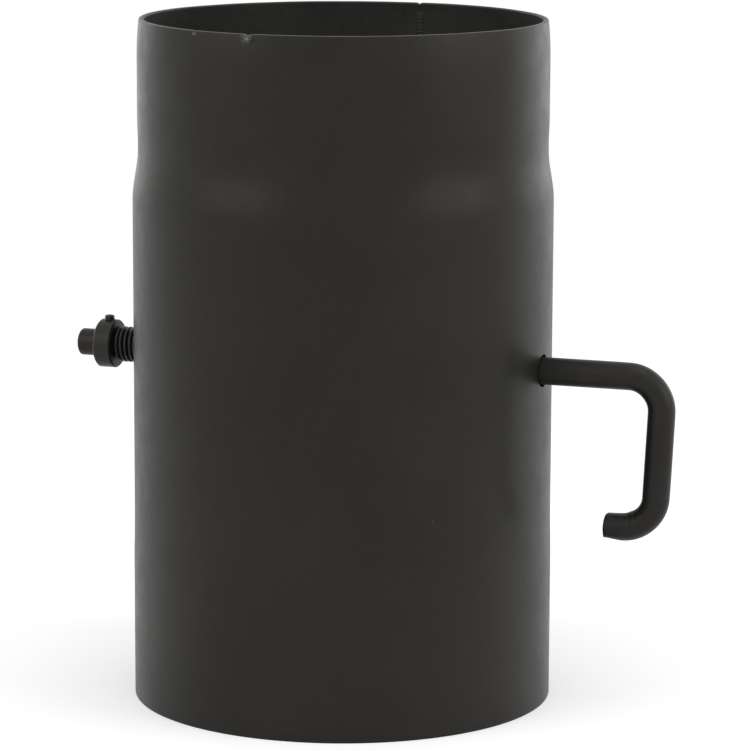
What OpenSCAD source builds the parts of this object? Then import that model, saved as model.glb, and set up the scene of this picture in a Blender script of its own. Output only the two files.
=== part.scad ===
// Flue pipe damper: a short length of 2 mm steel flue pipe with a butterfly blade inside.
// The blade is bolted to a round shaft whose right end is bent into the handle.
// A spring between the left wall and a set collar holds the blade where it is turned to.
// Units are millimetres, +Z is up. The origin is the centre of the pipe's lower end, and
// the shaft lies along X with the handle at +X. The blade is open when the handle hangs.

/* [Pipe] */
// Length of the pipe from end to end
pipe_len = 250; // [230:1:400]
// Inside diameter of the socket at the lower end
socket_id = 150; // [130:1:200]
// Thickness of the steel sheet
wall_t = 2; // [1.5:0.25:3]
// Depth of the socket, which takes the spigot of the next pipe
socket_len = 50; // [30:1:52]
// How much wider the socket is than the body, on the radius
socket_swell = 0.25; // [0.1:0.05:0.5]
// Length of the slight taper from the socket to the body
socket_taper_len = 20; // [10:1:30]
// Radius on the outer edge of the lower end
foot_round = 0.4; // [0.2:0.1:0.8]

/* [Spigot] */
// Length of the spigot above the shoulder
spigot_len = 47; // [44:1:60]
// Radial clearance between the spigot and the socket of the next pipe
spigot_gap = 0.1; // [0.05:0.05:0.3]
// Height of the shoulder that joins the body to the spigot
shoulder_len = 19; // [12:1:25]
// Height of the shallow waist above the shoulder
waist_len = 11; // [8:1:16]
// Depth of the waist, on the radius
waist_depth = 0.25; // [0.1:0.05:0.6]
// Height of the drawn-in lead at the rim
lead_len = 14; // [8:1:16]
// How far the rim is drawn in, on the radius
lead_depth = 0.7; // [0.3:0.1:1.2]
// Radius on both edges of the rim
rim_round = 0.6; // [0.3:0.1:0.7]

/* [Weld seam] */
// Direction of the lengthwise weld seam, anticlockwise from the handle
seam_angle = 86; // [60:1:120]
// Width of the weld bead inside the pipe
seam_w = 3.2; // [2:0.1:5]
// Height of the weld bead above the inner wall
seam_h = 0.35; // [0.2:0.05:0.6]

/* [Shaft] */
// Height of the shaft above the lower end
shaft_z = 125; // [115:1:140]
// Diameter of the shaft rod
rod_d = 10; // [8:0.5:12]
// Radius on the stub end of the shaft
stub_round = 1.2; // [0.5:0.1:2]
// How far the stub stands past the set collar
stub_len = 8; // [4:0.5:15]

/* [Handle] */
// Length of the straight arm between the pipe and the upper bend
arm_len = 32.2; // [20:0.1:60]
// Radius of both bends at the middle of the rod
bend_r = 12; // [10:0.5:20]
// How much the rod thins in its bends, on the radius
bend_thinning = 0.05; // [0.02:0.01:0.2]
// Length of the straight leg between the bends
leg_len = 31.4; // [20:0.1:60]
// How far the leg leans in towards the pipe, in degrees
leg_lean = 2.9; // [0:0.1:8]
// Length of the short return after the lower bend
return_len = 6.2; // [4:0.1:12]
// How much smaller than the rod the cropped end is, on the diameter
crop_squash = 1.1; // [0.4:0.1:2]
// Chamfer on the cropped end
crop_chamfer = 0.5; // [0.2:0.1:0.8]

/* [Blade] */
// Gap all round between the closed blade and the socket bore, on the radius
blade_gap = 5; // [4:0.5:8]
// Thickness of the blade
blade_t = 2; // [1:0.25:3]
// How much is trimmed off the blade's edge at each end of the shaft
blade_trim = 0.5; // [0.3:0.1:1.5]
// Outside diameter of the thrust bush between the blade and the left wall
bush_od = 16; // [14:0.5:20]

/* [Blade fasteners] */
// Distance between the two blade bolts
bolt_pitch = 80; // [50:1:100]
// Thread diameter of the blade bolts
bolt_d = 5; // [4:1:6]
// Length of the bolts under the head
bolt_len = 20; // [18:1:24]
// Width across the flats of the bolt heads and nuts
hex_af = 8; // [7:0.5:10]
// Height of the bolt heads
head_h = 3.5; // [2.8:0.1:4]
// Height of the nuts
nut_h = 4; // [3.2:0.1:5]
// Depth of the flats on the shaft that the bolt heads seat on
flat_depth = 1; // [0.5:0.1:1.5]
// Length of those flats along the shaft
flat_len = 14; // [12:1:20]
// Thickness of the lock washers
lock_t = 1.2; // [0.8:0.1:1.6]
// Outside diameter of the lock washers
lock_od = 9.2; // [8.5:0.1:11]
// Width of the split in the lock washers
lock_split = 0.9; // [0.5:0.1:1.5]

/* [Washer and spring] */
// Outside diameter of the washer between the spring and the pipe
washer_od = 20; // [18:0.5:24]
// Thickness of that washer
washer_t = 2; // [1:0.25:3]
// Length of the fitted spring
spring_len = 10.3; // [9.5:0.1:20]
// Wire diameter of the spring
wire_d = 1.3; // [1:0.1:1.4]
// Coils that lie closed at each end of the spring
closed_turns = 1; // [0.75:0.25:1.5]
// Coils of the spring that are free to work
active_turns = 3.4; // [2:0.1:3.5]

/* [Set collar] */
// Outside diameter of the set collar
collar_od = 18; // [16:0.5:24]
// Width of the set collar
collar_w = 7; // [6:0.5:10]
// Chamfer on the edges of the set collar
collar_chamfer = 0.6; // [0.3:0.1:1]
// Thread diameter of the set screw
screw_d = 4; // [3:1:5]
// Length of the set screw
screw_len = 6; // [5:0.5:8]
// Width across the flats of the set screw's socket
socket_af = 2; // [1.5:0.5:2]
// Depth of the set screw's socket
socket_depth = 2.4; // [1.5:0.1:3]
// Depth of the drilled spot on the shaft that the set screw bites in
spot_depth = 0.4; // [0.2:0.1:0.8]

/* [Fits] */
// Radial clearance between the shaft and its holes in the pipe
shaft_gap = 1; // [0.5:0.1:1.5]
// Radial clearance of the washer, the bush and the spring on the shaft
loose_gap = 0.25; // [0.1:0.05:0.3]
// Radial clearance of the set collar on the shaft
collar_gap = 0.03; // [0.02:0.01:0.1]
// Radial clearance of the bolts in the holes of the shaft and the blade
bolt_gap = 0.25; // [0.1:0.05:0.5]
// Gap left at a thread and at a face that turns against the pipe
seat_gap = 0.02; // [0.01:0.01:0.05]

/* [Hidden] */

$fn = 96;
pipe_fn = 180;
bend_fn = 64;
// Angle that a bend runs on into the straight lengths
bend_lap = 0.2;
black_paint = [0.16, 0.155, 0.15];
zinc_plate = [0.62, 0.63, 0.64];
// How far a cutting solid reaches past the face it cuts
over = 1;

// Radii of the pipe wall
socket_r = socket_id / 2;
outer_r = socket_r + wall_t;
body_r = outer_r - socket_swell;
seat_r = socket_r - spigot_gap;
waist_r = seat_r - waist_depth;
rim_r = seat_r - lead_depth;

// Heights where the pipe's outline changes
shoulder_top = pipe_len - spigot_len;
shoulder_foot = shoulder_top - shoulder_len;
seat_foot = shoulder_top + waist_len;
seat_top = pipe_len - lead_len;

// Shaft, blade and fasteners, seen along the shaft
rod_r = rod_d / 2;
blade_r = socket_r - blade_gap;
blade_half = blade_r - blade_trim;
blade_y = rod_r;
head_seat_y = flat_depth - rod_r;
lock_y = blade_y + blade_t;
nut_y = lock_y + lock_t;

// Stations along the shaft, from the left wall outwards
washer_x = -outer_r - seat_gap;
spring_x = washer_x - washer_t;
collar_x = spring_x - spring_len;
stub_x = collar_x - collar_w - stub_len;
arm_end_x = outer_r + arm_len;
// The bush stops where its outer edge meets the round inner wall
bush_x = seat_gap - sqrt(pow(body_r - wall_t, 2) - pow(bush_od / 2, 2));

// Spring: the coil is wound to run free on the shaft
coil_r = rod_r + loose_gap + 0.1 + wire_d / 2;
closed_pitch = wire_d + 0.05;
closed_rise = closed_turns * closed_pitch;
active_rise = spring_len - wire_d - 2 * closed_rise;
total_turns = active_turns + 2 * closed_turns;

// A smooth S-shaped step from 0 to 1
function ease(t) = (1 - cos(180 * t)) / 2;

// Points of an arc about a centre, from one angle to another
function arc(cx, cy, r, from, to, steps) =
    [for (i = [0:steps]) let (a = from + (to - from) * i / steps) [cx + r * cos(a), cy + r * sin(a)]];

// Points of an S-shaped step in the wall, from the first radius and height to the second
function step_wall(r0, z0, r1, z1, steps) =
    [for (i = [0:steps]) [r0 + (r1 - r0) * ease(i / steps), z0 + (z1 - z0) * i / steps]];

// Points of the wall where the rim is drawn in, which curves more and more
function lead_wall(inset) =
    let (steps = 6, end_z = pipe_len - rim_round)
    [for (i = [0:steps])
        let (t = i / steps)
        [seat_r - inset - lead_depth * t * t, seat_top + (end_z - seat_top) * t]];

// Outline of the wall from the foot to the rim, set in from the outside by inset
function wall_line(inset) = concat(
    [[outer_r - inset, socket_len]],
    step_wall(outer_r - inset, socket_len, body_r - inset, socket_len + socket_taper_len, 4),
    step_wall(body_r - inset, shoulder_foot, waist_r - inset, shoulder_top, 14),
    step_wall(waist_r - inset, shoulder_top + 2, seat_r - inset, seat_foot, 4),
    lead_wall(inset));

function reversed(points) = [for (i = [len(points) - 1:-1:0]) points[i]];

module pipe_wall() {
    foot = concat([[outer_r - wall_t, 0]], arc(outer_r - foot_round, foot_round, foot_round, -90, 0, 3));
    rim = concat(
        arc(rim_r - rim_round, pipe_len - rim_round, rim_round, 0, 90, 4),
        arc(rim_r - wall_t + rim_round, pipe_len - rim_round, rim_round, 90, 180, 4));
    rotate_extrude($fn = pipe_fn)
        polygon(concat(foot, wall_line(0), rim, reversed(wall_line(wall_t))));
}

// One side of the weld bead, set in from the outside of the wall by inset
function bead_line(inset, foot_z, end_z) = concat(
    [[body_r - inset, foot_z]],
    [for (p = wall_line(inset)) if (p[1] > foot_z + 2 && p[1] < end_z) p]);

// Weld bead on the inner wall. It is ground away in the socket, so that a spigot fits,
// and it starts and ends in a short slope.
module weld_seam() {
    sweep = 2 * asin(seam_w / 2 / socket_r);
    foot_z = socket_len + socket_taper_len + 3;
    inner = bead_line(wall_t + seam_h, foot_z + 1, pipe_len - 4);
    outer = bead_line(wall_t / 2, foot_z, pipe_len - 2);
    rotate([0, 0, seam_angle - sweep / 2])
        rotate_extrude(angle = sweep, $fn = pipe_fn)
            polygon(concat(outer, reversed(inner)));
}

module pipe_body() {
    color(black_paint)
        difference() {
            union() {
                pipe_wall();
                weld_seam();
            }
            translate([0, 0, shaft_z])
                rotate([0, 90, 0])
                    cylinder(h = 2 * (outer_r + over), r = rod_r + shaft_gap, center = true);
        }
}

// Straight length of the shaft, from the upper bend to the rounded stub
module straight_rod() {
    round_at = arm_end_x - stub_x - stub_round;
    translate([arm_end_x, 0, shaft_z])
        rotate([0, -90, 0]) {
            cylinder(h = round_at, r = rod_r);
            translate([0, 0, round_at])
                rotate_extrude()
                    polygon(concat([[0, 0]], arc(rod_r - stub_round, 0, stub_round, 0, 90, 6), [[0, stub_round]]));
        }
}

// One bend of the rod about the Y axis, between two angles from +X towards +Z.
// It is a little thinner than the straight lengths, and runs a little way into them.
module rod_bend(from, to) {
    rotate([90, 0, 0])
        rotate_extrude(angle = to - from + 2 * bend_lap, start = from - bend_lap, $fn = bend_fn)
            translate([bend_r, 0])
                circle(r = rod_r - bend_thinning);
}

// Upper bend, leaning leg, lower bend and the short return with its cropped end
module handle_bends() {
    crop_r = rod_r - crop_squash / 2;
    translate([arm_end_x, 0, shaft_z - bend_r]) {
        rod_bend(-leg_lean, 90);
        rotate([0, leg_lean, 0]) {
            translate([bend_r, 0, -leg_len])
                cylinder(h = leg_len, r = rod_r);
            translate([0, 0, -leg_len])
                rod_bend(-90, 0);
            translate([0, 0, -leg_len - bend_r])
                rotate([0, -90, 0]) {
                    cylinder(h = return_len - crop_chamfer, r1 = rod_r, r2 = crop_r);
                    translate([0, 0, return_len - crop_chamfer])
                        cylinder(h = crop_chamfer, r1 = crop_r, r2 = crop_r - crop_chamfer);
                }
        }
    }
}

module shaft_handle() {
    color(black_paint)
        difference() {
            union() {
                straight_rod();
                handle_bends();
            }
            for (side = [-1, 1])
                translate([side * bolt_pitch / 2, 0, shaft_z]) {
                    rotate([90, 0, 0])
                        cylinder(h = rod_d + 2 * over, r = bolt_d / 2 + bolt_gap, center = true);
                    translate([-flat_len / 2, head_seat_y - rod_d, -rod_r - over])
                        cube([flat_len, rod_d, rod_d + 2 * over]);
                }
            translate([collar_x - collar_w / 2, 0, shaft_z + rod_r - spot_depth])
                cylinder(h = spot_depth + over, r = screw_d / 2 + collar_gap);
        }
}

module damper_blade() {
    color(black_paint)
        translate([0, blade_y, shaft_z])
            rotate([-90, 0, 0])
                difference() {
                    intersection() {
                        cylinder(h = blade_t, r = blade_r, $fn = pipe_fn);
                        translate([-blade_half, -blade_r, 0])
                            cube([2 * blade_half, 2 * blade_r, blade_t]);
                    }
                    for (side = [-1, 1])
                        translate([side * bolt_pitch / 2, 0, -over])
                            cylinder(h = blade_t + 2 * over, r = bolt_d / 2 + bolt_gap);
                }
}

// Hexagon across the given flats with its corners turned down at the top
module hex_block(af, h) {
    corner_r = af / sqrt(3);
    intersection() {
        cylinder(h = h, r = corner_r, $fn = 6);
        cylinder(h = h, r1 = corner_r + h * 1.4, r2 = af / 2 * 0.95);
    }
}

// Places its children at both blade bolts, with +Z from the head to the nut
module at_bolts(y) {
    for (side = [-1, 1])
        translate([side * bolt_pitch / 2, y, shaft_z])
            rotate([-90, 0, 0])
                children();
}

module blade_bolts() {
    tip = bolt_d * 0.14;
    color(zinc_plate)
        at_bolts(head_seat_y) {
            mirror([0, 0, 1])
                hex_block(hex_af, head_h);
            cylinder(h = bolt_len - tip, r = bolt_d / 2);
            translate([0, 0, bolt_len - tip])
                cylinder(h = tip, r1 = bolt_d / 2, r2 = bolt_d / 2 - tip);
        }
}

module blade_lock_washers() {
    color(zinc_plate)
        at_bolts(lock_y)
            difference() {
                cylinder(h = lock_t, r = lock_od / 2);
                translate([0, 0, -over])
                    cylinder(h = lock_t + 2 * over, r = bolt_d / 2 + seat_gap * 2);
                translate([0, -lock_split / 2, -over])
                    cube([lock_od, lock_split, lock_t + 2 * over]);
            }
}

module blade_nuts() {
    color(zinc_plate)
        at_bolts(nut_y)
            difference() {
                hex_block(hex_af, nut_h);
                translate([0, 0, -over])
                    cylinder(h = nut_h + 2 * over, r = bolt_d / 2 + seat_gap);
            }
}

// Plain ring on the shaft, from one station to the right of it
module shaft_ring(x, w, od, gap) {
    translate([x, 0, shaft_z])
        rotate([0, 90, 0])
            difference() {
                cylinder(h = w, r = od / 2);
                translate([0, 0, -over])
                    cylinder(h = w + 2 * over, r = rod_r + gap);
            }
}

module thrust_bush() {
    color(zinc_plate)
        shaft_ring(bush_x, -blade_half - bush_x, bush_od, loose_gap);
}

module wall_washer() {
    color(black_paint)
        shaft_ring(washer_x - washer_t, washer_t, washer_od, loose_gap);
}

// Height of the coil's middle line after a number of turns
function coil_z(turns) =
    wire_d / 2 + (turns < closed_turns ? turns * closed_pitch
        : turns < total_turns - closed_turns ? closed_rise + (turns - closed_turns) * active_rise / active_turns
        : closed_rise + active_rise + (turns - total_turns + closed_turns) * closed_pitch);

// Compression spring with closed ends, swept ring by ring along the helix
module tension_spring() {
    steps = 24;
    sides = 10;
    rings = ceil(total_turns * steps);
    points = [for (i = [0:rings], k = [0:sides - 1])
        let (turns = total_turns * i / rings, a = 360 * turns, b = 90 + 360 * k / sides,
            r = coil_r + wire_d / 2 * cos(b))
        [r * cos(a), r * sin(a), coil_z(turns) + wire_d / 2 * sin(b)]];
    walls = [for (i = [0:rings - 1], k = [0:sides - 1])
        let (n = (k + 1) % sides, j = i * sides)
        [j + k, j + sides + k, j + sides + n, j + n]];
    first_cap = [for (k = [0:sides - 1]) k];
    last_cap = [for (k = [sides - 1:-1:0]) rings * sides + k];
    color(black_paint)
        translate([spring_x, 0, shaft_z])
            rotate([0, -90, 0])
                polyhedron(points, concat(walls, [first_cap, last_cap]), convexity = 6);
}

module set_collar() {
    bore_r = rod_r + collar_gap;
    rim = collar_od / 2 - collar_chamfer;
    color(black_paint)
        translate([collar_x, 0, shaft_z])
            difference() {
                rotate([0, -90, 0])
                    rotate_extrude()
                        polygon([
                            [bore_r, 0],
                            [rim, 0],
                            [collar_od / 2, collar_chamfer],
                            [collar_od / 2, collar_w - collar_chamfer],
                            [rim, collar_w],
                            [bore_r, collar_w]]);
                translate([-collar_w / 2, 0, 0])
                    cylinder(h = collar_od, r = screw_d / 2 + seat_gap);
            }
}

module set_screw() {
    edge = screw_d * 0.1;
    r = screw_d / 2;
    color(black_paint)
        translate([collar_x - collar_w / 2, 0, shaft_z + rod_r - spot_depth])
            difference() {
                rotate_extrude()
                    polygon([
                        [0, 0],
                        [r - 2 * edge, 0],
                        [r, 2 * edge],
                        [r, screw_len - edge],
                        [r - edge, screw_len],
                        [0, screw_len]]);
                translate([0, 0, screw_len - socket_depth])
                    cylinder(h = socket_depth + over, r = socket_af / sqrt(3), $fn = 6);
            }
}

pipe_body();
shaft_handle();
damper_blade();
blade_bolts();
blade_lock_washers();
blade_nuts();
thrust_bush();
wall_washer();
tension_spring();
set_collar();
set_screw();
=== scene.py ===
"""Looks of the flue pipe damper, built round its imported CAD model.

Sizes are in millimetres and turned into metres when a mesh is made. The frame is the CAD's:
+Z up the pipe, +X along the shaft towards the handle, origin at the centre of the lower end.
"""

import math

import bmesh
import bpy
import numpy as np
from mathutils import Matrix, Vector


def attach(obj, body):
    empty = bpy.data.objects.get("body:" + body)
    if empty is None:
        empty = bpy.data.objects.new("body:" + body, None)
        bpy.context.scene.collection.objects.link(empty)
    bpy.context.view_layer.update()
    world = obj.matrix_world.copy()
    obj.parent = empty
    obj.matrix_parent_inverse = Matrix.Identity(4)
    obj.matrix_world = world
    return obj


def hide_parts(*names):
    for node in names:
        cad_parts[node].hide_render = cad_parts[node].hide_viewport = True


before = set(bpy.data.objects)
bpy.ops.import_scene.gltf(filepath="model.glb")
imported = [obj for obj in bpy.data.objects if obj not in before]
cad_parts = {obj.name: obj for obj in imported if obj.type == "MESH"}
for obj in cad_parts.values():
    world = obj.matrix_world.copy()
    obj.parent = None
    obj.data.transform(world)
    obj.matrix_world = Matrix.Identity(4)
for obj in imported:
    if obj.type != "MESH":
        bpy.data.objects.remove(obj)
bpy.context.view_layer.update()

MM = 0.001

# Pipe wall
PIPE_LEN = 250.0
OUTER_R, BODY_R, WAIST_R, SEAT_R, RIM_R = 77.0, 76.75, 74.65, 74.9, 74.2
WALL_T = 2.0
SOCKET_TOP, TAPER_TOP = 50.0, 70.0
SHOULDER_FOOT, SHOULDER_TOP = 184.0, 203.0
WAIST_TOP, SEAT_FOOT, SEAT_TOP = 205.0, 214.0, 236.0
RIM_ROUND, FOOT_ROUND, INNER_ROUND = 0.6, 0.4, 0.15
HOLE_R = 6.0

# Knocks on the rim: angle from the handle, and size
CHIPS = ((-97.5, 1.0), (-115.0, 0.45))

# Weld seam
SEAM_ANGLE, SEAM_W, SEAM_H, SEAM_PITCH = 86.0, 3.2, 0.35, 1.3
SEAM_FOOT, SEAM_END = 74.0, 246.5

# Shaft and handle
SHAFT_Z, ROD_R = 125.0, 5.0
STUB_X, STUB_ROUND = -104.32, 1.2
ARM_END_X, BEND_R = 109.2, 12.0
LEG_LEN, LEG_LEAN, RETURN_LEN = 31.4, 2.9, 6.2
CROP_R, CROP_ROUND = 4.5, 1.0
BOLT_X, FLAT_Y, FLAT_LEN = 40.0, -4.0, 14.0
SPOT_Z = 129.6
# Creases inside the lower bend: place before the bend's end, and depth
CREASES = ((-8.6, 0.34), (-6.9, 0.20), (-5.4, 0.22), (-3.9, 0.18), (-2.6, 0.12))

# Fasteners
BOLT_R, BOLT_LEN, BOLT_PITCH, BOLT_HOLE_R = 2.5, 20.0, 0.8, 2.75
HEX_AF, HEAD_H, NUT_H, NUT_Y = 8.0, 3.5, 4.0, 8.2
SCREW_R, SCREW_LEN, SCREW_PITCH, SCREW_X = 2.0, 6.0, 0.7, -92.82
KEY_AF, KEY_DEPTH = 2.0, 2.4

# Spring, coiled round the shaft from the washer towards the collar
SPRING_X, SPRING_LEN, WIRE_R, COIL_R = -79.02, 10.3, 0.65, 6.0
CLOSED_TURNS, CLOSED_PITCH, ACTIVE_TURNS = 1.0, 1.35, 3.4


def ease(t):
    """A smooth S-shaped step from 0 to 1."""
    return (1 - np.cos(np.pi * np.clip(t, 0, 1))) / 2


def hump(x, centre, width):
    """A rounded hump of height 1, about as wide as given."""
    return np.exp(-(((x - centre) / width) ** 2))


def add_piece(name, points, faces, body, materials, sharp=32.0, indices=None):
    """A closed mesh from points in millimetres, smooth but for edges sharper than the angle."""
    mesh = bpy.data.meshes.new(name)
    mesh.from_pydata([tuple(p) for p in np.asarray(points) * MM], [], faces)
    piece = bpy.data.objects.new(name, mesh)
    bpy.context.scene.collection.objects.link(piece)
    for material in materials:
        mesh.materials.append(material)
    if indices is not None:
        mesh.polygons.foreach_set("material_index", indices)
    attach(piece, body)
    soften(piece, sharp)
    return piece


def soften(piece, sharp):
    """Points the faces outwards, shades them smooth and keeps the edges sharper than the angle."""
    work = bmesh.new()
    work.from_mesh(piece.data)
    bmesh.ops.remove_doubles(work, verts=work.verts, dist=1e-7)
    bmesh.ops.recalc_face_normals(work, faces=work.faces)
    limit = math.radians(sharp)
    for face in work.faces:
        face.smooth = True
    for edge in work.edges:
        edge.smooth = len(edge.link_faces) == 2 and edge.calc_face_angle(0) < limit
    work.to_mesh(piece.data)
    work.free()


def tube_faces(rings, sides, closed_rings=False):
    """Faces of a grid of points, ring after ring, closed round each ring."""
    last = rings if closed_rings else rings - 1
    return [
        (i * sides + k, i * sides + (k + 1) % sides,
         (i + 1) % rings * sides + (k + 1) % sides, (i + 1) % rings * sides + k)
        for i in range(last) for k in range(sides)
    ]


def cut(piece, *tools):
    """Takes the tools' solids away from the piece."""
    for tool in tools:
        step = piece.modifiers.new("cut", "BOOLEAN")
        step.operation, step.solver, step.object = "DIFFERENCE", "EXACT", tool
    shown = piece.evaluated_get(bpy.context.evaluated_depsgraph_get())
    mesh = bpy.data.meshes.new_from_object(shown)
    piece.modifiers.clear()
    piece.data = mesh
    for tool in tools:
        bpy.data.objects.remove(tool)
    soften(piece, 32.0)


def rod_tool(a, b, r, sides=64):
    """A cylinder between two points in millimetres, to cut with."""
    a, b = Vector(a), Vector(b)
    work = bmesh.new()
    place = Matrix.Translation((a + b) / 2 * MM) @ (b - a).to_track_quat("Z", "Y").to_matrix().to_4x4()
    bmesh.ops.create_cone(work, cap_ends=True, segments=sides, radius1=r * MM, radius2=r * MM,
                          depth=(b - a).length * MM, matrix=place)
    return tool_from(work)


def box_tool(low, high):
    """A box between two corners in millimetres, to cut with."""
    low, high = Vector(low), Vector(high)
    work = bmesh.new()
    place = Matrix.Translation((low + high) / 2 * MM) @ Matrix.Diagonal([*((high - low) * MM), 1])
    bmesh.ops.create_cube(work, size=1, matrix=place)
    return tool_from(work)


def tool_from(work):
    """A hidden object to cut with."""
    mesh = bpy.data.meshes.new("tool")
    work.to_mesh(mesh)
    work.free()
    tool = bpy.data.objects.new("tool", mesh)
    bpy.context.scene.collection.objects.link(tool)
    tool.hide_render = True
    return tool


class Shader:
    """A material, with short calls that add and link its nodes."""

    def __init__(self, name):
        self.material = bpy.data.materials.new(name)
        self.material.use_nodes = True
        self.tree = self.material.node_tree
        self.surface = self.tree.nodes["Principled BSDF"]
        self.place = self.add("TexCoord").outputs["Object"]

    def add(self, kind, inputs=None, **settings):
        node = self.tree.nodes.new("ShaderNode" + kind)
        for key, value in settings.items():
            setattr(node, key, value)
        for key, value in (inputs or {}).items():
            self.put(node.inputs[key], value)
        return node

    def put(self, socket, value):
        if isinstance(value, bpy.types.NodeSocket):
            self.tree.links.new(value, socket)
        else:
            socket.default_value = value

    def noise(self, size, detail=2.0, place=None):
        """Noise from 0 to 1 with features of about that many millimetres."""
        return self.add("TexNoise", {"Vector": place or self.place, "Scale": 1 / (size * MM),
                                     "Detail": detail, "Roughness": 0.55}).outputs["Fac"]

    def math(self, operation, a, b=0.0, clamp=False):
        return self.add("Math", {0: a, 1: b}, operation=operation, use_clamp=clamp).outputs[0]

    def spread(self, value, low, high, to_low=0.0, to_high=1.0):
        """The value taken from one span to another, and held at its ends."""
        return self.add("MapRange", {"Value": value, "From Min": low, "From Max": high, "To Min": to_low,
                                     "To Max": to_high}, interpolation_type="SMOOTHSTEP").outputs["Result"]

    def mix(self, share, a, b):
        """Two colours mixed by share."""
        node = self.add("Mix", data_type="RGBA")
        self.put(node.inputs[0], share)
        for socket, value in ((node.inputs[6], a), (node.inputs[7], b)):
            self.put(socket, value if isinstance(value, bpy.types.NodeSocket) else (*value, 1))
        return node.outputs[2]

    def bump(self, height, depth, under=None):
        """A bump of that many millimetres, on top of another one."""
        inputs = {"Height": height, "Distance": depth * MM, "Strength": 1.0}
        if under is not None:
            inputs["Normal"] = under
        return self.add("Bump", inputs).outputs["Normal"]

    def near(self, centre, reach):
        """1 at a point in millimetres, falling to 0 at reach."""
        gap = self.add("VectorMath", {0: self.place, 1: tuple(c * MM for c in centre)},
                       operation="DISTANCE").outputs["Value"]
        return self.spread(gap, 0.0, reach * MM, 1.0, 0.0)

    def finish(self, **inputs):
        for key, value in inputs.items():
            self.put(self.surface.inputs[key.replace("_", " ")], value)
        return self.material


def black_paint(name, dark, light, roughness, peel, grain, speck_size=0.0, chips=(), gloss=0.20):
    """Matt heat-resistant paint: mottled black, orange peel, fine grain and a few dust specks."""
    s = Shader(name)
    broad = s.spread(s.noise(46, 3), 0.3, 0.7)
    fine = s.spread(s.noise(2.6, 2), 0.3, 0.7)
    tone = s.mix(s.math("ADD", s.math("MULTIPLY", broad, 0.65), s.math("MULTIPLY", fine, 0.35)), dark, light)
    rough = s.spread(s.noise(9, 3), 0.25, 0.75, roughness - 0.03, roughness + 0.04)
    bump = s.bump(s.noise(1.5, 2), peel)
    bump = s.bump(s.noise(0.45, 1), grain, bump)
    if speck_size:
        cells = s.add("TexVoronoi", {"Vector": s.place, "Scale": 1 / (14 * MM)})
        dot = s.spread(cells.outputs["Distance"], speck_size / 14 * 0.5, speck_size / 14, 1.0, 0.0)
        pick = s.add("SeparateColor", {"Color": cells.outputs["Color"]})
        dot = s.math("MULTIPLY", dot, s.math("GREATER_THAN", pick.outputs[0], 0.55))
        tone = s.mix(s.math("MULTIPLY", dot, 0.55), tone, (0.13, 0.12, 0.11))
        bump = s.bump(dot, 0.03, bump)
    for centre, reach in chips:
        patch = s.math("MULTIPLY", s.near(centre, reach), s.spread(s.noise(0.8, 3), 0.35, 0.6))
        tone = s.mix(patch, tone, (0.17, 0.17, 0.165))
    s.surface.inputs["Specular Tint"].default_value = (1.0, 0.965, 0.93, 1)
    return s.finish(Base_Color=tone, Roughness=rough, Normal=bump, Specular_IOR_Level=gloss)


def zinc(name):
    """Bright zinc plate: cool grey crystals, soft sheen, faint drawing marks."""
    s = Shader(name)
    tone = s.mix(s.spread(s.noise(1.3, 3), 0.3, 0.7), (0.50, 0.52, 0.55), (0.66, 0.67, 0.68))
    tone = s.mix(s.spread(s.noise(6, 3), 0.55, 0.8, 0.0, 0.35), tone, (0.34, 0.33, 0.30))
    rough = s.spread(s.noise(0.7, 3), 0.25, 0.75, 0.26, 0.42)
    return s.finish(Base_Color=tone, Roughness=rough, Metallic=1.0, Normal=s.bump(s.noise(0.5, 2), 0.006))


def black_oxide(name):
    """Black oxide on a hardened screw: near black, oily sheen, brown where it thins."""
    s = Shader(name)
    tone = s.mix(s.spread(s.noise(0.9, 3), 0.35, 0.7), (0.022, 0.022, 0.023), (0.055, 0.050, 0.046))
    rough = s.spread(s.noise(0.6, 2), 0.3, 0.7, 0.34, 0.5)
    return s.finish(Base_Color=tone, Roughness=rough, Metallic=0.35, Normal=s.bump(s.noise(0.3, 2), 0.004))


def on_pipe(angle, radius, z):
    """A point on the pipe in millimetres, the angle in degrees from the handle."""
    return (radius * math.cos(math.radians(angle)), radius * math.sin(math.radians(angle)), z)


outside_paint = black_paint(
    "pipe_paint", (0.0098, 0.0094, 0.0087), (0.0150, 0.0143, 0.0131), 0.38, 0.010, 0.004, 0.30,
    [(on_pipe(angle, 74.6, 249.0), 3.0 * size) for angle, size in CHIPS])
inside_paint = black_paint(
    "pipe_paint_inside", (0.0090, 0.0088, 0.0083), (0.0230, 0.0222, 0.0208), 0.50, 0.034, 0.022, gloss=0.27)
shaft_paint = black_paint(
    "shaft_paint", (0.0095, 0.0091, 0.0085), (0.0145, 0.0139, 0.0129), 0.40, 0.008, 0.005, 0.22)
blade_paint = black_paint(
    "blade_paint", (0.0100, 0.0097, 0.0092), (0.0160, 0.0154, 0.0145), 0.45, 0.016, 0.010, 0.25)
collar_paint = black_paint(
    "collar_paint", (0.0130, 0.0127, 0.0121), (0.0210, 0.0204, 0.0194), 0.40, 0.006, 0.004)
spring_paint = black_paint(
    "spring_steel", (0.0110, 0.0108, 0.0104), (0.0210, 0.0204, 0.0195), 0.34, 0.004, 0.003)
zinc_plate = zinc("zinc_plate")
screw_finish = black_oxide("black_oxide")


def outer_radius(z):
    """Outside radius of the wall at a height, below the rounded rim."""
    steps = ((SOCKET_TOP, TAPER_TOP, OUTER_R, BODY_R), (SHOULDER_FOOT, SHOULDER_TOP, BODY_R, WAIST_R),
             (WAIST_TOP, SEAT_FOOT, WAIST_R, SEAT_R))
    r = np.full_like(z, OUTER_R)
    for low, high, before, after in steps:
        r = r + (after - before) * ease((z - low) / (high - low))
    return r - (SEAT_R - RIM_R) * np.clip((z - SEAT_TOP) / (PIPE_LEN - RIM_ROUND - SEAT_TOP), 0, 1) ** 2


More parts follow.
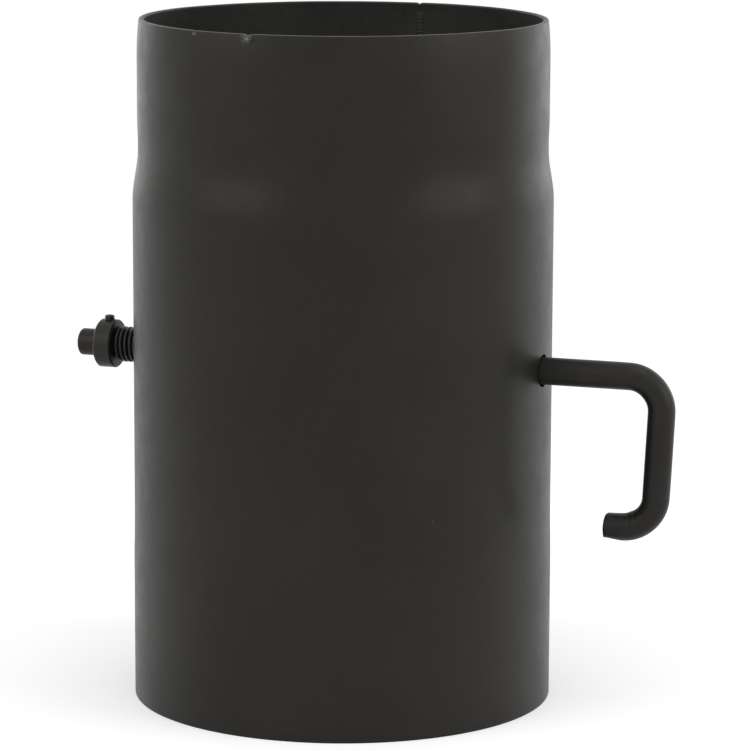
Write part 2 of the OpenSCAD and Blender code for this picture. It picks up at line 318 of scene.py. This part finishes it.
def corner(r, z, size, start, steps):
    """Points of a quarter round about a centre, from a start angle in degrees."""
    return [(r + size * math.cos(math.radians(start + 90 * i / steps)),
             z + size * math.sin(math.radians(start + 90 * i / steps))) for i in range(steps + 1)]


def wall_heights(low, high):
    """Heights of the rings of one side of the wall, close together where it curves."""
    spans = ((0, 6, 2), (6, 50, 11), (50, 70, 2.5), (70, 115, 11), (115, 135, 1.25), (135, 184, 12),
             (184, 214, 1.0), (214, 236, 5.5), (236, 246, 1.2), (246, 250, 0.3))
    found = [low]
    for start, end, step in spans:
        count = max(1, round((end - start) / step))
        found += [start + (end - start) * i / count for i in range(count)]
    return np.array(sorted({round(z, 4) for z in found if low <= z < high} | {round(high, 4)}))


def ring_angles(base, windows):
    """Angles round the pipe, closer together in the windows of (centre, half width, step)."""
    found, a = [], 0.0
    while a < 360 - 1e-6:
        found.append(a)
        steps = [step for centre, half, step in windows if abs((a - centre + 180) % 360 - 180) < half]
        a += min(steps + [base])
    return np.radians(found)


def make_pipe():
    """The pipe wall in one turned outline, with its knocks, nick and uneven rim."""
    outside = wall_heights(FOOT_ROUND, PIPE_LEN - RIM_ROUND)
    inside = wall_heights(INNER_ROUND, PIPE_LEN - RIM_ROUND)[::-1]
    outline = [(r, z, 0) for r, z in zip(outer_radius(outside), outside)]
    outline += [(r, z, 0) for r, z in corner(RIM_R - RIM_ROUND, PIPE_LEN - RIM_ROUND, RIM_ROUND, 0, 5)[1:]]
    outline += [(r, z, 1) for r, z in
                corner(RIM_R - WALL_T + RIM_ROUND, PIPE_LEN - RIM_ROUND, RIM_ROUND, 90, 5)[:-1]]
    outline += [(r - WALL_T, z, 1) for r, z in zip(outer_radius(inside), inside)]
    outline += [(r, z, 1) for r, z in
                corner(OUTER_R - WALL_T + INNER_ROUND, INNER_ROUND, INNER_ROUND, 180, 3)[1:]]
    outline += [(r, z, 0) for r, z in corner(OUTER_R - FOOT_ROUND, FOOT_ROUND, FOOT_ROUND, 270, 4)[:-1]]
    outline = np.array(outline)

    windows = [(0, 6, 0.75), (180, 6, 0.75), (SEAM_ANGLE, 2.5, 0.25)]
    windows += [(angle % 360, 4 * size + 0.8, 0.16) for angle, size in CHIPS]
    angles = ring_angles(1.5, windows)
    rings, sides = len(outline), len(angles)
    r = np.repeat(outline[:, :1], sides, 1)
    z = np.repeat(outline[:, 1:2], sides, 1)
    outward = np.repeat(outline[:, 2:3] == 0, sides, 1)
    turn = np.repeat(angles[None, :], rings, 0)

    def arc_from(angle):
        """Distance round the wall from an angle, in millimetres."""
        return ((np.degrees(turn) - angle + 180) % 360 - 180) * math.radians(1) * r

    # Knocks on the rim: the edge is pushed in and down, with a lip of paint beside it
    top = PIPE_LEN - z
    for angle, size in CHIPS:
        u = arc_from(angle)
        dent = 0.55 * hump(u, 0, 1.3 * size) * hump(top, 0, 1.3 * size)
        right_lip = 0.30 * hump(u, 2.2 * size, 0.7 * size) * hump(top, 1.6 * size, 0.9 * size)
        left_lip = 0.22 * hump(u, -1.6 * size, 0.6 * size) * hump(top, 1.0 * size, 0.8 * size)
        r += np.where(outward, size * (right_lip + left_lip - dent), 0)
        z -= 0.42 * size * hump(u, 0.2, 1.0 * size) * np.exp(-((top / 2.5) ** 2))
    # The two edges of the sheet meet at the seam: a nick in the rim, a ground flat outside
    u = arc_from(SEAM_ANGLE)
    z -= 0.45 * hump(u, 0.6, 0.7) * np.exp(-((top / 1.6) ** 2))
    r -= np.where(outward, 0.07 * hump(u, 0, 2.2), 0)
    # The sawn rim isn't quite even
    wave = np.sin(3 * turn + 0.7) + 0.6 * np.sin(7 * turn + 2.1) + 0.4 * np.sin(17 * turn)
    z -= 0.035 * (wave + 2) * np.exp(-((top / 3.0) ** 2))

    points = np.stack([r * np.cos(turn), r * np.sin(turn), z], -1).reshape(-1, 3)
    faces = tube_faces(rings, sides, closed_rings=True)
    inner_ring = outline[:, 2] == 1
    sheet = np.repeat(np.where(inner_ring & np.roll(inner_ring, -1), 1, 0), sides)
    pipe = add_piece("pipe", points, faces, "pipe", [outside_paint, inside_paint], 40.0, sheet)
    reach = OUTER_R + 3
    cut(pipe, rod_tool((-reach, 0, SHAFT_Z), (reach, 0, SHAFT_Z), HOLE_R, 96))
    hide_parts("pipe_body")


def make_weld_bead():
    """The bead inside the pipe: overlapping ripples, a little uneven in width and height."""
    heights = np.arange(SEAM_FOOT, SEAM_END, SEAM_PITCH / 8)
    across = np.linspace(-1, 1, 15)
    z, t = np.meshgrid(heights, across, indexing="ij")
    ends = np.clip(np.minimum(z - SEAM_FOOT, SEAM_END - z) / 2.5, 0, 1) ** 0.5
    ripple = ((z / SEAM_PITCH + 0.35 * t ** 2) % 1) ** 1.6
    sway = 0.12 * np.sin(z / 9.1) + 0.08 * np.sin(z / 3.7 + 1)
    half = SEAM_W / 2 * (1 + 0.05 * np.sin(z / 2.3) + 0.04 * ripple) * (0.6 + 0.4 * ends)
    height = (SEAM_H * (0.72 + 0.28 * ripple)) * np.sqrt(np.clip(1 - t ** 2, 0, 1)) * ends
    inner_r = outer_radius(z) - WALL_T
    turn = math.radians(SEAM_ANGLE) + (half * t + sway) / inner_r
    top = np.stack([(inner_r - height) * np.cos(turn), (inner_r - height) * np.sin(turn), z], -1)
    root = np.stack([(inner_r + 0.25) * np.cos(turn), (inner_r + 0.25) * np.sin(turn), z], -1)
    ring = np.concatenate([top, root[:, ::-1]], 1)
    rings, sides = ring.shape[:2]
    faces = tube_faces(rings, sides) + [tuple(range(sides)), tuple(range((rings - 1) * sides, rings * sides))]
    add_piece("weld_bead", ring.reshape(-1, 3), faces, "pipe", [inside_paint], 60.0)


make_pipe()
make_weld_bead()


def bar_line():
    """Stations along the bar from the stub to the cropped end: centre, outward direction of the bends and
    distance travelled. The bar lies in the plane y = 0."""
    lean = math.radians(LEG_LEAN)
    stations = []

    def run(start, direction, outward, length, step):
        count = max(1, round(length / step))
        for i in range(count):
            stations.append((*(np.array(start) + np.array(direction) * length * i / count), *outward,
                             length / count))

    def bend(centre, start, sweep, step):
        count = round(math.radians(sweep) * BEND_R / step)
        for i in range(count):
            a = math.radians(start - sweep * i / count)
            stations.append((centre[0] + BEND_R * math.cos(a), centre[1] + BEND_R * math.sin(a),
                             math.cos(a), math.sin(a), math.radians(sweep) * BEND_R / count))

    down = (-math.sin(lean), -math.cos(lean))
    out = (math.cos(lean), -math.sin(lean))
    upper = (ARM_END_X, SHAFT_Z - BEND_R)
    lower = (upper[0] + down[0] * LEG_LEN, upper[1] + down[1] * LEG_LEN)
    run((STUB_X, SHAFT_Z), (1, 0), (0, 1), STUB_ROUND, 0.1)
    run((STUB_X + STUB_ROUND, SHAFT_Z), (1, 0), (0, 1), ARM_END_X - STUB_X - STUB_ROUND, 2.0)
    bend(upper, 90, 90 + LEG_LEAN, 0.5)
    run((upper[0] + out[0] * BEND_R, upper[1] + out[1] * BEND_R), down, out, LEG_LEN, 1.0)
    bend(lower, -LEG_LEAN, 90, 0.15)
    foot = (lower[0] + down[0] * BEND_R, lower[1] + down[1] * BEND_R)
    run(foot, (-out[0], -out[1]), down, RETURN_LEN, 0.15)
    end = np.array(lower) + np.array(down) * BEND_R - np.array(out) * RETURN_LEN
    stations.append((*end, *down, 0.0))
    stations = np.array(stations)
    travelled = np.concatenate([[0], np.cumsum(stations[:-1, 4])])
    return stations[:, :2], stations[:, 2:4], travelled


def rounded_end(away, size):
    """How much a rounded end takes off the radius, at a distance from the end."""
    left = size - np.sqrt(np.clip(size ** 2 - (size - away) ** 2, 0, None))
    return np.where(away < size, left, 0)


def make_bar():
    """The bent bar: stub, shaft and handle in one, with the marks that cold bending leaves."""
    centre, outward, s = bar_line()
    total = s[-1]
    sides = 72
    around = np.linspace(0, 2 * np.pi, sides, endpoint=False)
    s2, a2 = np.meshgrid(s, around, indexing="ij")
    inside = (np.degrees(a2) - 180 + 180) % 360 - 180  # 0 on the inside of the bends, + towards -Y
    upper_mid = ARM_END_X - STUB_X + BEND_R * math.radians(90 + LEG_LEAN) / 2
    lower_start = upper_mid + BEND_R * math.radians(90 + LEG_LEAN) / 2 + LEG_LEN
    lower_mid = lower_start + BEND_R * math.radians(90) / 2
    lower_end = lower_start + BEND_R * math.radians(90)

    r = np.full_like(s2, ROD_R)
    # Rounded stub and rounded, slightly drawn-down crop
    r -= rounded_end(s2, STUB_ROUND)
    back = total - s2
    r -= (ROD_R - CROP_R) * np.clip(1 - back / RETURN_LEN, 0, 1)
    r -= rounded_end(back, CROP_ROUND)
    # Cold bends: the outside stretches flat, the inside gathers
    for mid, reach in ((upper_mid, 8.0), (lower_mid, 7.5)):
        r -= 0.22 * hump(s2, mid, reach) * hump(np.abs(inside), 180, 50)
        r += 0.16 * hump(s2, mid, reach * 0.7) * hump(inside, 0, 45)
    # Gathered skin and creases inside the lower bend, with a furrow along its side
    r += 0.34 * hump(s2, lower_end - 5.0, 3.6) * hump(inside, 0, 38)
    for k, (place, deep) in enumerate(CREASES):
        tilt = 0.012 * inside * (1 if k % 2 else -1)
        r -= deep * hump(s2 + tilt, lower_end + place, 0.33) * hump(inside, 6, 40)
    along = ease((s2 - lower_end + 6.0) / 3.0) * ease((total - 1.6 - s2) / 2.5)
    r -= 0.26 * along * hump(inside, 50 - 3.0 * (s2 - lower_end), 8.5)
    # Small burr where the shear left the lower edge
    r += 0.55 * hump(s2, total - 0.25, 0.35) * hump(np.abs(inside), 150, 16)

    cosine, sine = np.cos(a2), np.sin(a2)
    x = centre[:, :1] + outward[:, :1] * r * cosine
    z = centre[:, 1:2] + outward[:, 1:2] * r * cosine
    y = r * sine
    points = np.stack([x, y, z], -1).reshape(-1, 3)
    rings = len(s)
    faces = tube_faces(rings, sides) + [tuple(range(sides)), tuple(range((rings - 1) * sides, rings * sides))]
    bar = add_piece("shaft_bar", points, faces, "damper", [shaft_paint], 40.0)
    tools = [rod_tool((SCREW_X, 0, SPOT_Z), (SCREW_X, 0, SPOT_Z + 5), SCREW_R + 0.03)]
    for x in (-BOLT_X, BOLT_X):
        tools.append(rod_tool((x, -8, SHAFT_Z), (x, 8, SHAFT_Z), BOLT_HOLE_R))
        tools.append(box_tool((x - FLAT_LEN / 2, -9, SHAFT_Z - 8), (x + FLAT_LEN / 2, FLAT_Y, SHAFT_Z + 8)))
    cut(bar, *tools)
    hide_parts("shaft_handle")


def make_spring():
    """The compression spring, with a closed coil at each end."""
    turns_total = ACTIVE_TURNS + 2 * CLOSED_TURNS
    closed_rise = CLOSED_TURNS * CLOSED_PITCH
    active_rise = SPRING_LEN - 2 * WIRE_R - 2 * closed_rise
    turns = np.linspace(0, turns_total, round(turns_total * 56) + 1)
    run = WIRE_R + np.interp(turns, [0, CLOSED_TURNS, turns_total - CLOSED_TURNS, turns_total],
                             [0, closed_rise, closed_rise + active_rise, 2 * closed_rise + active_rise])
    sides = 18
    b = np.linspace(0, 2 * np.pi, sides, endpoint=False)
    t2, b2 = np.meshgrid(turns, b, indexing="ij")
    run2 = np.repeat(run[:, None], sides, 1)
    radius = COIL_R + WIRE_R * np.cos(b2)
    turn = 2 * np.pi * t2
    points = np.stack([SPRING_X - run2 - WIRE_R * np.sin(b2), radius * np.sin(turn),
                       SHAFT_Z + radius * np.cos(turn)], -1).reshape(-1, 3)
    rings = len(turns)
    faces = tube_faces(rings, sides) + [tuple(range(sides)), tuple(range((rings - 1) * sides, rings * sides))]
    spring = add_piece("coil_spring", points, faces, "damper", [spring_paint], 50.0)
    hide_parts("tension_spring")


make_bar()
make_spring()


def thread_rings(length, major, pitch, sides, tip, chamfer_start):
    """Rings of points of a right-handed thread along +Z from 0, drawn in at one or both ends."""
    depth = 0.61 * pitch
    heights = np.linspace(0, length, round(length / pitch * 10) + 1)
    z, a = np.meshgrid(heights, np.linspace(0, 2 * np.pi, sides, endpoint=False), indexing="ij")
    wave = np.abs(((z / pitch - a / (2 * np.pi)) % 1) * 2 - 1)
    r = major - depth * np.clip((wave - 0.12) / 0.72, 0, 1)
    r = np.minimum(r, major - tip + (length - z) * 1.0)
    if chamfer_start:
        r = np.minimum(r, major - tip + z)
    return np.stack([r * np.cos(a), r * np.sin(a), z], -1)


def hex_rings(af, low, high, sides, bevel_low, bevel_high):
    """Rings of a hexagon whose corners are turned down in a cone at one or both ends."""
    a = np.linspace(0, 2 * np.pi, sides, endpoint=False)
    flat = af / 2 / np.cos((a + math.pi / 6) % (math.pi / 3) - math.pi / 6)
    round_r = af / 2 * 0.95
    drop = (flat - round_r) * math.tan(math.radians(30))

    def ring(r, z):
        r, z = np.broadcast_arrays(r, z)
        return np.stack([r * np.cos(a), r * np.sin(a), z * np.ones(sides)], -1)

    full = np.full(sides, 1.0)
    rings = [ring(round_r * full, low * full)] if bevel_low else []
    rings.append(ring(flat, (low + drop) if bevel_low else low * full))
    rings.append(ring(flat, (high - drop) if bevel_high else high * full))
    if bevel_high:
        rings.append(ring(round_r * full, high * full))
    return rings


def solid_from(rings):
    """Points and faces of a closed solid through rings of equal count, capped at both ends."""
    rings = np.array(rings)
    count, sides = rings.shape[:2]
    faces = tube_faces(count, sides) + [tuple(range(sides)), tuple(range((count - 1) * sides, count * sides))]
    return rings.reshape(-1, 3), faces


def to_bolt(points, x, y):
    """Points made along +Z, laid along +Y at a bolt."""
    return np.stack([x + points[:, 0], y + points[:, 2], SHAFT_Z - points[:, 1]], -1)


def join(parts):
    """Several point and face lists as one."""
    points, faces, start = [], [], 0
    for p, f in parts:
        points.append(p)
        faces += [tuple(i + start for i in face) for face in f]
        start += len(p)
    return np.concatenate(points), faces


def make_bolts():
    """Both blade bolts, with turned heads and real threads."""
    sides = 60
    parts = []
    for x in (-BOLT_X, BOLT_X):
        head, head_faces = solid_from(hex_rings(HEX_AF, -HEAD_H, 0.0, sides, True, False))
        shank, shank_faces = solid_from(thread_rings(BOLT_LEN, BOLT_R, BOLT_PITCH, sides, 0.7, False))
        parts += [(to_bolt(head, x, FLAT_Y), head_faces), (to_bolt(shank, x, FLAT_Y), shank_faces)]
    points, faces = join(parts)
    bolts = add_piece("hex_bolts", points, faces, "damper", [zinc_plate], 28.0)
    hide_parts("blade_bolts")


def make_nuts():
    """Both nuts, turned at both ends."""
    sides = 60
    parts = []
    a = np.linspace(0, 2 * np.pi, sides, endpoint=False)
    for x in (-BOLT_X, BOLT_X):
        rings = hex_rings(HEX_AF, 0.0, NUT_H, sides, True, True)
        for r, z in ((2.95, NUT_H), (2.52, NUT_H - 0.4), (2.52, 0.4), (2.95, 0.0)):
            rings.append(np.stack([r * np.cos(a), r * np.sin(a), np.full(sides, z)], -1))
        grid = np.array(rings)
        faces = tube_faces(len(rings), sides, closed_rings=True)
        parts.append((to_bolt(grid.reshape(-1, 3), x, NUT_Y), faces))
    points, faces = join(parts)
    nuts = add_piece("hex_nuts", points, faces, "damper", [zinc_plate], 28.0)
    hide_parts("blade_nuts")


def make_set_screw():
    """The grub screw in the collar, with its hexagon socket."""
    points, faces = solid_from(thread_rings(SCREW_LEN, SCREW_R, SCREW_PITCH, 60, 0.45, True))
    points = points + np.array([SCREW_X, 0, SPOT_Z])
    screw = add_piece("grub_screw", points, faces, "damper", [screw_finish], 28.0)
    top = SPOT_Z + SCREW_LEN
    cut(screw, rod_tool((SCREW_X, 0, top - KEY_DEPTH), (SCREW_X, 0, top + 1), KEY_AF / math.sqrt(3), 6))
    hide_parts("set_screw")


make_bolts()
make_nuts()
make_set_screw()

for node, material in {
    "damper_blade": blade_paint,
    "blade_lock_washers": zinc_plate,
    "thrust_bush": zinc_plate,
    "wall_washer": collar_paint,
    "set_collar": collar_paint,
}.items():
    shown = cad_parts[node]
    shown.data.materials.clear()
    shown.data.materials.append(material)


def pale_floor():
    """A wide pale floor. What the camera and reflections see of it is lifted to white, shadow and all."""
    mesh = bpy.data.meshes.new("floor")
    half = 9.0
    corners = [(-half, -half, 0), (half, -half, 0), (half, half, 0), (-half, half, 0)]
    mesh.from_pydata(corners, [], [(0, 1, 2, 3)])
    floor = bpy.data.objects.new("floor", mesh)
    bpy.context.scene.collection.objects.link(floor)
    s = Shader("pale_floor")
    tree, shade = s.tree, s.surface
    shade.inputs["Base Color"].default_value = (0.80, 0.80, 0.80, 1)
    shade.inputs["Roughness"].default_value = 0.9
    shade.inputs["Specular IOR Level"].default_value = 0.0
    path = s.add("LightPath")
    seen = s.math("MAXIMUM", path.outputs["Is Camera Ray"], path.outputs["Is Glossy Ray"])
    seen = s.math("MAXIMUM", seen, path.outputs["Is Transmission Ray"])
    glow = s.add("Emission", {"Color": (1, 1, 1, 1), "Strength": s.math("MULTIPLY", seen, 0.32)})
    total = s.add("AddShader", {0: shade.outputs[0], 1: glow.outputs[0]})
    white = s.add("Emission", {"Color": (1, 1, 1, 1), "Strength": 1.0})
    away = s.add("VectorMath", {0: s.place}, operation="LENGTH").outputs["Value"]
    far = s.math("MULTIPLY", seen, s.spread(away, 0.35, 1.3))
    faded = s.add("MixShader", {0: far, 1: total.outputs[0], 2: white.outputs[0]})
    tree.links.new(faded.outputs[0], tree.nodes["Material Output"].inputs["Surface"])
    mesh.materials.append(s.material)


def studio_world():
    """White where the camera and reflections see it, and plain soft light elsewhere."""
    world = bpy.data.worlds.new("studio")
    bpy.context.scene.world = world
    world.use_nodes = True
    tree = world.node_tree
    path = tree.nodes.new("ShaderNodeLightPath")
    seen = None
    for name in ("Is Camera Ray", "Is Glossy Ray", "Is Transmission Ray"):
        if seen is None:
            seen = path.outputs[name]
            continue
        both = tree.nodes.new("ShaderNodeMath")
        both.operation = "MAXIMUM"
        tree.links.new(seen, both.inputs[0])
        tree.links.new(path.outputs[name], both.inputs[1])
        seen = both.outputs[0]
    plain = tree.nodes["Background"]
    plain.inputs["Color"].default_value = (1, 1, 1, 1)
    plain.inputs["Strength"].default_value = 0.62
    white = tree.nodes.new("ShaderNodeBackground")
    white.inputs["Color"].default_value = (1, 1, 1, 1)
    white.inputs["Strength"].default_value = 1.0
    mix = tree.nodes.new("ShaderNodeMixShader")
    tree.links.new(seen, mix.inputs[0])
    tree.links.new(plain.outputs[0], mix.inputs[1])
    tree.links.new(white.outputs[0], mix.inputs[2])
    tree.links.new(mix.outputs[0], tree.nodes["World Output"].inputs["Surface"])


def softbox(name, azimuth, elevation, distance, size, power):
    """A square lamp aimed at the middle of the pipe. Its azimuth is to the right of the camera's."""
    lamp = bpy.data.lights.new(name, "AREA")
    lamp.shape, lamp.size, lamp.energy = "SQUARE", size, power
    holder = bpy.data.objects.new(name, lamp)
    holder.visible_camera = False
    a, e = math.radians(CAMERA_AZIMUTH + azimuth), math.radians(elevation)
    back = Vector((math.sin(a) * math.cos(e), -math.cos(a) * math.cos(e), math.sin(e)))
    holder.location = Vector((0, 0, SHAFT_Z * MM)) + back * distance
    holder.rotation_mode = "QUATERNION"
    holder.rotation_quaternion = back.to_track_quat("Z", "Y")
    bpy.context.scene.collection.objects.link(holder)


CAMERA_AZIMUTH = 19.62
FOCAL_PX, IMAGE_PX, SENSOR = 3858.55, 750.0, 36.0
CAMERA_REACH, CAMERA_HEIGHT = 1396.53, 371.115
YAW, PITCH, ROLL = 0.4844, 10.2474, 0.2234


def photo_camera():
    """The camera solved from the photograph's two rims and the sides of the pipe."""
    yaw, pitch, roll = (math.radians(v) for v in (YAW, PITCH, ROLL))
    forward = Vector((math.sin(yaw) * math.cos(pitch), math.cos(yaw) * math.cos(pitch), -math.sin(pitch)))
    right = Vector((math.cos(yaw), -math.sin(yaw), 0))
    up = right.cross(forward)
    side = math.cos(roll) * right + math.sin(roll) * up
    top = -math.sin(roll) * right + math.cos(roll) * up
    axes = Matrix((side, top, -forward)).transposed().to_4x4()
    place = Matrix.Translation(Vector((0, -CAMERA_REACH, CAMERA_HEIGHT)) * MM)
    lens = bpy.data.cameras.new("camera")
    lens.sensor_width = SENSOR
    lens.lens = FOCAL_PX / IMAGE_PX * SENSOR
    lens.clip_start, lens.clip_end = 0.01, 60
    camera = bpy.data.objects.new("camera", lens)
    camera.matrix_world = Matrix.Rotation(math.radians(CAMERA_AZIMUTH), 4, "Z") @ place @ axes
    bpy.context.scene.collection.objects.link(camera)
    bpy.context.scene.camera = camera


pale_floor()
studio_world()
softbox("key_left", -62, 28, 1.6, 1.1, 7.0)
softbox("key_right", 66, 24, 1.6, 1.1, 8.0)
softbox("rear_left", -150, 6, 1.6, 0.9, 2.0)
softbox("rear_right", 135, 6, 1.6, 1.2, 5.0)
softbox("top", 10, 78, 1.8, 1.2, 7.0)
photo_camera()
bpy.context.scene.view_settings.view_transform = "Standard"
